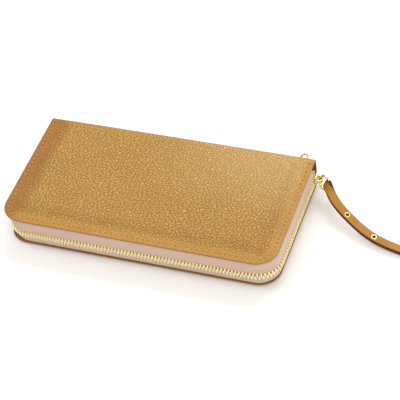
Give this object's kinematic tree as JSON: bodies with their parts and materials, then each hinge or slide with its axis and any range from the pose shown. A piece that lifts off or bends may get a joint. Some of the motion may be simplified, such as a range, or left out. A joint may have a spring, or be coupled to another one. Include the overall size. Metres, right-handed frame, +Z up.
{
  "type": "zip around wallet",
  "caption": "Long flat wallet with padded covers, a metal zip round three sides, a coin pocket and card slots inside, and a wrist strap hung from the zip slider.",
  "frame": {"origin": "centre of the flat face it rests on, under the middle of the closed wallet", "axes": "+X along the wallet towards the zip slider's end, +Y towards the spine, +Z up through the front cover"},
  "size_m": [0.3375, 0.1065, 0.0246],
  "materials": {
    "pebbled_leather": "pebbled, soft sheen",
    "spine_leather": "pebbled, soft sheen",
    "strap_leather": "smooth, painted edges",
    "gusset_leather": "smooth, matt",
    "interior_leather": "smooth, matt",
    "lining_fabric": "fine weave",
    "zip_tape": "herringbone weave",
    "padding": "open foam",
    "board": "stiff card",
    "gold_hardware": "polished",
    "zip_teeth": "polished"
  },
  "bodies": {
    "back_cover": {"back_cover_leather": "pebbled_leather", "back_cover_padding": "padding", "back_cover_board": "board", "back_cover_lining": "lining_fabric", "back_card_panel": "interior_leather", "back_card_slots": "interior_leather", "lower_zip_tape": "zip_tape", "lower_zip_teeth": "zip_teeth", "lower_top_stop": "gold_hardware", "bottom_stop": "gold_hardware"},
    "front_cover": {"front_cover_leather": "pebbled_leather", "front_cover_padding": "padding", "front_cover_board": "board", "front_cover_lining": "lining_fabric", "front_card_panel": "interior_leather", "front_card_slots": "interior_leather", "upper_zip_tape": "zip_tape", "upper_zip_teeth": "zip_teeth", "upper_top_stop": "gold_hardware"},
    "spine": {"spine_leather": "spine_leather", "spine_lining": "lining_fabric", "spine_ring_tab": "spine_leather", "coin_pocket": "interior_leather", "coin_zip_tapes": "zip_tape", "coin_zip_teeth": "zip_teeth", "left_gusset": "gusset_leather", "right_gusset": "gusset_leather"},
    "back_divider": {"back_divider": "interior_leather"},
    "front_divider": {"front_divider": "interior_leather"},
    "zip_slider": {"zip_slider_body": "gold_hardware", "zip_slider_bridge": "gold_hardware"},
    "slider_ring": {"slider_d_ring": "gold_hardware"},
    "wrist_strap": {"wrist_strap": "strap_leather", "strap_eyelets": "gold_hardware"},
    "spine_ring": {"spine_ring": "gold_hardware"},
    "coin_slider": {"coin_zip_slider": "gold_hardware"},
    "coin_pull": {"coin_zip_pull": "gold_hardware"}
  },
  "joints": [
    {"name": "cover_open", "type": "hinge", "parent": "spine", "child": "front_cover", "pos_m": [0, 0.0484, 0.0223], "axis": [-1, 0, 0], "range_deg": [0, 45], "deforming": ["upper_zip_tape", "upper_zip_teeth", "lower_zip_tape", "lower_zip_teeth", "left_gusset", "right_gusset", "upper_top_stop", "bottom_stop"]},
    {"name": "spine_tilt", "type": "hinge", "parent": "back_cover", "child": "spine", "pos_m": [0, 0.0484, 0.0015], "axis": [-1, 0, 0], "range_deg": [0, 45]},
    {"name": "back_divider_swing", "type": "hinge", "parent": "spine", "child": "back_divider", "pos_m": [0, 0.0464, 0.007], "axis": [-1, 0, 0], "range_deg": [-22.5, 0]},
    {"name": "front_divider_swing", "type": "hinge", "parent": "spine", "child": "front_divider", "pos_m": [0, 0.0464, 0.0168], "axis": [-1, 0, 0], "range_deg": [0, 22.5]},
    {"name": "zip_slide", "type": "slide", "parent": "back_cover", "child": "zip_slider", "axis": [0, -1, 0], "range_m": [0, 0.065]},
    {"name": "slider_ring_turn", "type": "hinge", "parent": "zip_slider", "child": "slider_ring", "pos_m": [0.1018, 0.041, 0.0119], "axis": [0, 0, 1], "range_deg": [-10, 60]},
    {"name": "strap_turn", "type": "hinge", "parent": "slider_ring", "child": "wrist_strap", "pos_m": [0.1078, 0.03781, 0.0119], "axis": [0.1984, 0.3731, 0.9063], "range_deg": [-30, 5]},
    {"name": "spine_ring_turn", "type": "hinge", "parent": "spine", "child": "spine_ring", "pos_m": [0.0882, 0.0516, 0.017], "axis": [1, 0, 0], "range_deg": [-130, 45]},
    {"name": "coin_slide", "type": "slide", "parent": "spine", "child": "coin_slider", "axis": [-1, 0, 0], "range_m": [0, 0.145], "deforming": ["coin_zip_teeth"]},
    {"name": "coin_pull_turn", "type": "hinge", "parent": "coin_slider", "child": "coin_pull", "pos_m": [0.07, -0.03055, 0.0119], "axis": [0, 0, 1], "range_deg": [0, 90]}
  ],
  "couplings": [
    {"joint": "spine_tilt", "follows": "cover_open", "ratio": 1},
    {"joint": "back_divider_swing", "follows": "cover_open", "ratio": -0.5},
    {"joint": "front_divider_swing", "follows": "cover_open", "ratio": 0.5}
  ]
}
